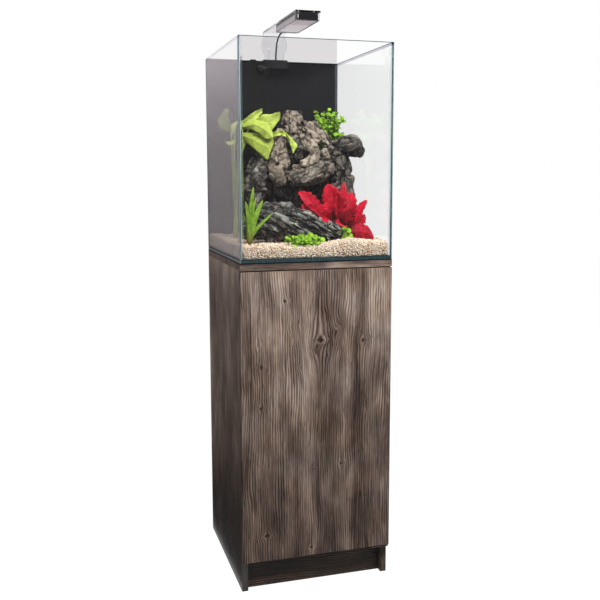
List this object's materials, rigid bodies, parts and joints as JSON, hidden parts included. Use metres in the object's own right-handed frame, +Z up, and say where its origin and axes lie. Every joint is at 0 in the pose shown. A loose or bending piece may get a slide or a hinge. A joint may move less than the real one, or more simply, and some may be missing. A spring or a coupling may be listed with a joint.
{
  "type": "aquarium with cabinet",
  "caption": "Tall rimless glass aquarium on a wood-grain cabinet with a pivot-hung push-latch door, LED lamp on a clear rim bracket, inside filter and planted rock layout.",
  "frame": {"origin": "on the floor, in the middle of the object's box without its cord", "axes": "+Z up, door and front glass towards -Y, door pivots towards +X"},
  "size_m": [0.4, 0.4888, 1.4882],
  "materials": {
    "oak_decor": "matt wood-grain laminate",
    "beech": "planed",
    "zinc_steel": "bright zinc",
    "hinge_steel": "satin",
    "latch_plastic": "moulded grey",
    "magnet": "nickel",
    "felt_bumper": "soft clear",
    "foam_mat": "closed-cell foam",
    "tank_glass": "float glass",
    "silicone": "cured silicone",
    "black_film": "gloss black",
    "clear_acrylic": "polished acrylic",
    "anodised_grey": "dark anodised",
    "lamp_aluminium": "satin anodised",
    "black_gloss": "gloss black",
    "led_white": "white solder mask",
    "led_phosphor": "phosphor",
    "diffuser": "frosted",
    "cord_black": "soft sheath",
    "plug_black": "moulded",
    "filter_black": "moulded black",
    "sponge_black": "open-cell foam",
    "impeller_plastic": "moulded",
    "ceramic": "ceramic",
    "gravel": "rounded grains",
    "rock": "rough",
    "bark": "weathered",
    "leaf_yellow_green": "leaf",
    "leaf_bright_green": "leaf",
    "leaf_red": "leaf",
    "leaf_grass": "leaf"
  },
  "bodies": {
    "frame": {"left_side_panel": "oak_decor", "right_side_panel": "oak_decor", "top_board": "oak_decor", "bottom_board": "oak_decor", "back_panel": "oak_decor", "plinth_board": "oak_decor", "shelf": "oak_decor", "wood_dowels": "beech", "cam_fittings": "zinc_steel", "cabinet_screws": "zinc_steel", "shelf_pins": "zinc_steel", "bracket_screws": "zinc_steel", "hinge_plate_top": "hinge_steel", "hinge_plate_bottom": "hinge_steel", "hinge_pins": "hinge_steel", "latch_body": "latch_plastic", "levelling_mat": "foam_mat", "base_glass": "tank_glass", "front_glass": "tank_glass", "rear_glass": "tank_glass", "left_glass": "tank_glass", "right_glass": "tank_glass", "silicone_seams": "silicone", "back_film": "black_film", "lamp_bracket": "clear_acrylic", "rim_clamp": "anodised_grey", "lamp_housing": "lamp_aluminium", "lamp_end_caps": "black_gloss", "led_board": "led_white", "led_chips": "led_phosphor", "lamp_diffusers": "diffuser", "lamp_cord": "cord_black", "cord_gland": "cord_black", "lamp_plug": "plug_black", "filter_housing": "filter_black", "filter_lid": "filter_black", "pump_body": "filter_black", "filter_sponge": "sponge_black", "impeller_shaft": "ceramic", "gravel_bed": "gravel", "rock": "rock", "bark_log": "bark", "broadleaf_plant": "leaf_yellow_green", "bush_plant": "leaf_bright_green", "carpet_plants": "leaf_bright_green", "red_plant": "leaf_red", "grass_plant": "leaf_grass"},
    "door": {"door_panel": "oak_decor", "door_hinge_leaves": "hinge_steel", "door_screws": "zinc_steel", "strike_plate": "hinge_steel", "door_bumpers": "felt_bumper"},
    "latch_slider": {"latch_plunger": "latch_plastic", "latch_magnet": "magnet"},
    "left_thumbscrew": {"thumbscrew_left": "anodised_grey"},
    "right_thumbscrew": {"thumbscrew_right": "anodised_grey"},
    "light_button": {"lamp_button": "black_gloss"},
    "pump_impeller": {"impeller": "impeller_plastic"},
    "water_nozzle": {"outlet_nozzle": "filter_black"}
  },
  "joints": [
    {"name": "door_hinge", "type": "hinge", "parent": "frame", "child": "door", "pos_m": [0.194, -0.21685, 0.46], "axis": [0, 0, 1], "range_deg": [0, 100]},
    {"name": "latch_press", "type": "slide", "parent": "frame", "child": "latch_slider", "axis": [0, 1, 0], "range_m": [0, 0.003], "stiffness_N_per_m": 600, "springref_m": -0.002},
    {"name": "thumbscrew_left_turn", "type": "hinge", "parent": "frame", "child": "left_thumbscrew", "pos_m": [-0.02, 0.21185, 1.369], "axis": [0, 1, 0], "continuous": true},
    {"name": "thumbscrew_right_turn", "type": "hinge", "parent": "frame", "child": "right_thumbscrew", "pos_m": [0.028, 0.21185, 1.369], "axis": [0, 1, 0], "continuous": true},
    {"name": "button_press", "type": "slide", "parent": "frame", "child": "light_button", "axis": [0, -1, 0], "range_m": [0, 0.0015], "stiffness_N_per_m": 400, "springref_m": -0.001},
    {"name": "impeller_spin", "type": "hinge", "parent": "frame", "child": "pump_impeller", "pos_m": [-0.078, 0.16715, 1.27], "axis": [0, 0, 1], "continuous": true},
    {"name": "nozzle_turn", "type": "hinge", "parent": "frame", "child": "water_nozzle", "pos_m": [-0.058, 0.12815, 1.368], "axis": [0, 1, 0], "range_deg": [-90, 90]}
  ]
}
